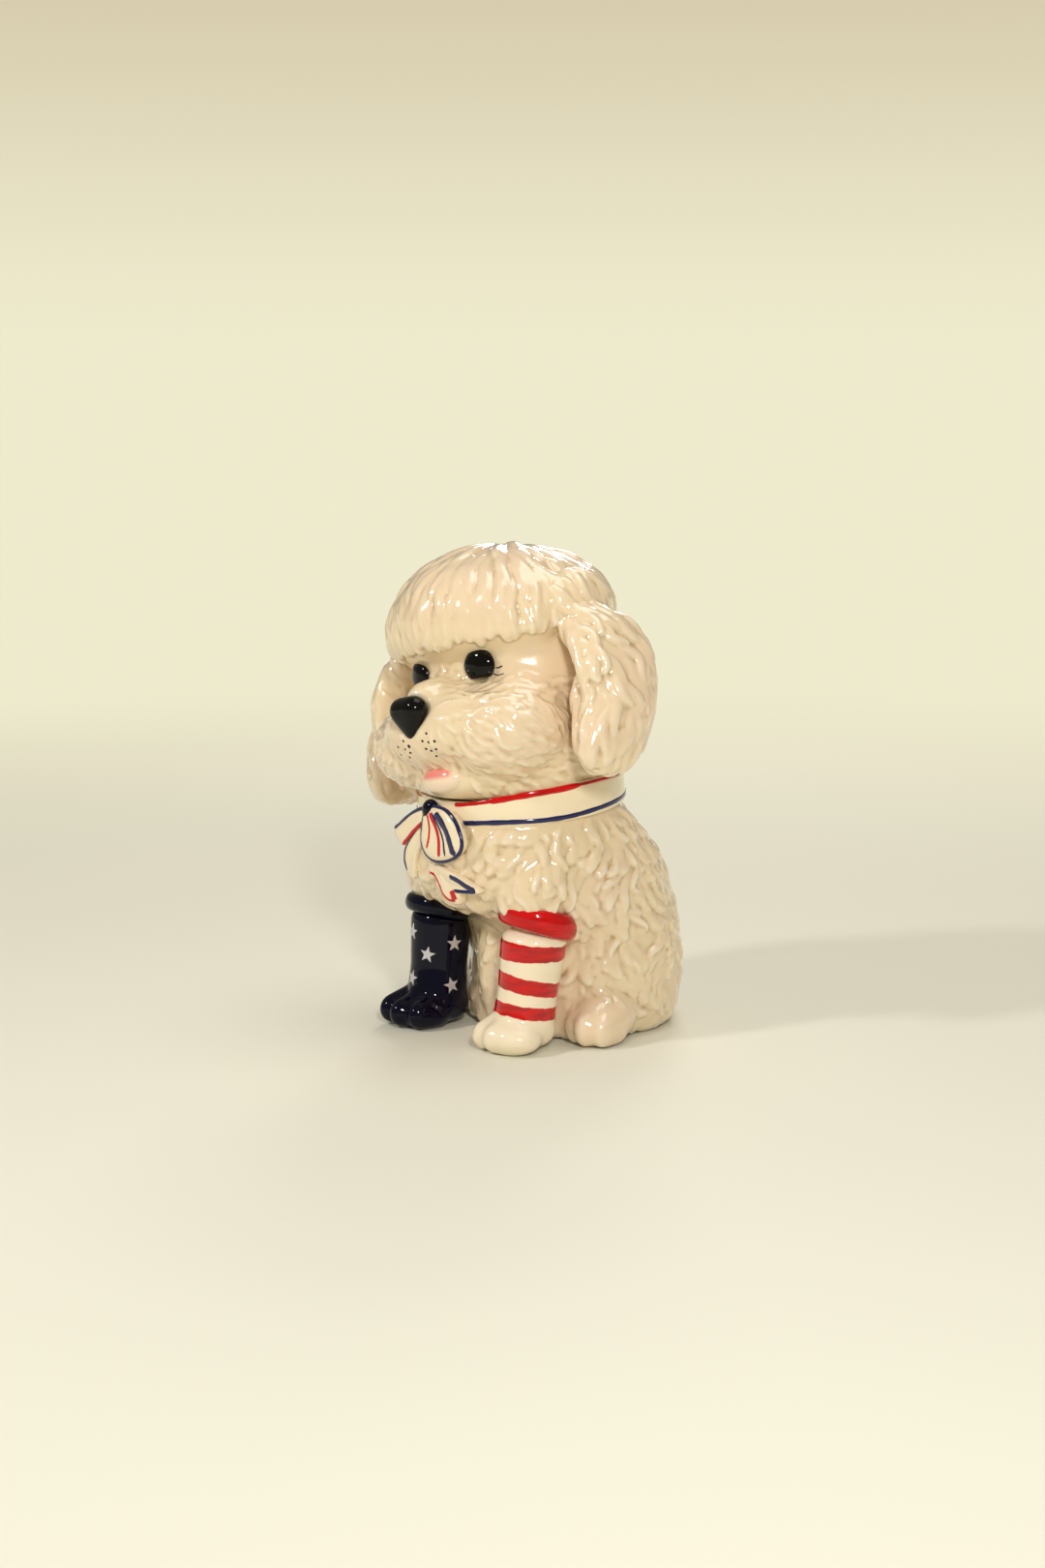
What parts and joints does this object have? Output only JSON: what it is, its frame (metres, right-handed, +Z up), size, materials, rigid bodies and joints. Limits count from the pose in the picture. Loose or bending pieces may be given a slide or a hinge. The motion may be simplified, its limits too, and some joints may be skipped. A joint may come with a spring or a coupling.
{
  "type": "ceramic dog figurine",
  "caption": "Glazed ceramic puppy sitting upright with a tilted head, curly coat, ribbon bow, striped stocking and starred boot.",
  "frame": {"origin": "on the resting plane, at the middle of the resting_face mount under the base plate", "axes": "+Z up, -Y the way the puppy faces, +X towards its own left side"},
  "size_m": [0.1737, 0.1766, 0.2506],
  "materials": {
    "cream_glaze": "gloss, warm ivory with tan in the hollows and a faint pearl lustre",
    "stocking_glaze": "gloss cream with hand-painted red stripes",
    "ribbon_glaze": "gloss cream with hand-painted red and navy lines",
    "navy_glaze": "gloss, nearly black navy",
    "red_glaze": "gloss red",
    "black_glaze": "gloss black",
    "pink_glaze": "gloss pink fading to cream",
    "silver_lustre": "silver lustre transfer"
  },
  "bodies": {
    "root": {"base_plate": "cream_glaze", "torso": "cream_glaze", "hind_paw_left": "cream_glaze", "hind_paw_right": "cream_glaze", "tail": "cream_glaze", "foreleg_left": "stocking_glaze", "sock_cuff": "red_glaze", "forepaw_left": "cream_glaze", "foreleg_right": "navy_glaze", "boot_cuff": "navy_glaze", "forepaw_right": "navy_glaze", "ribbon_collar": "ribbon_glaze", "bow_knot": "navy_glaze", "bow_loop_left": "ribbon_glaze", "bow_loop_right": "ribbon_glaze", "ribbon_tail_left": "ribbon_glaze", "ribbon_tail_right": "ribbon_glaze", "head": "cream_glaze", "forelock": "cream_glaze", "ear_left": "cream_glaze", "ear_right": "cream_glaze", "nose": "black_glaze", "eye_left": "black_glaze", "eye_right": "black_glaze", "lower_lip": "pink_glaze", "star_decals": "silver_lustre"}
  },
  "joints": []
}
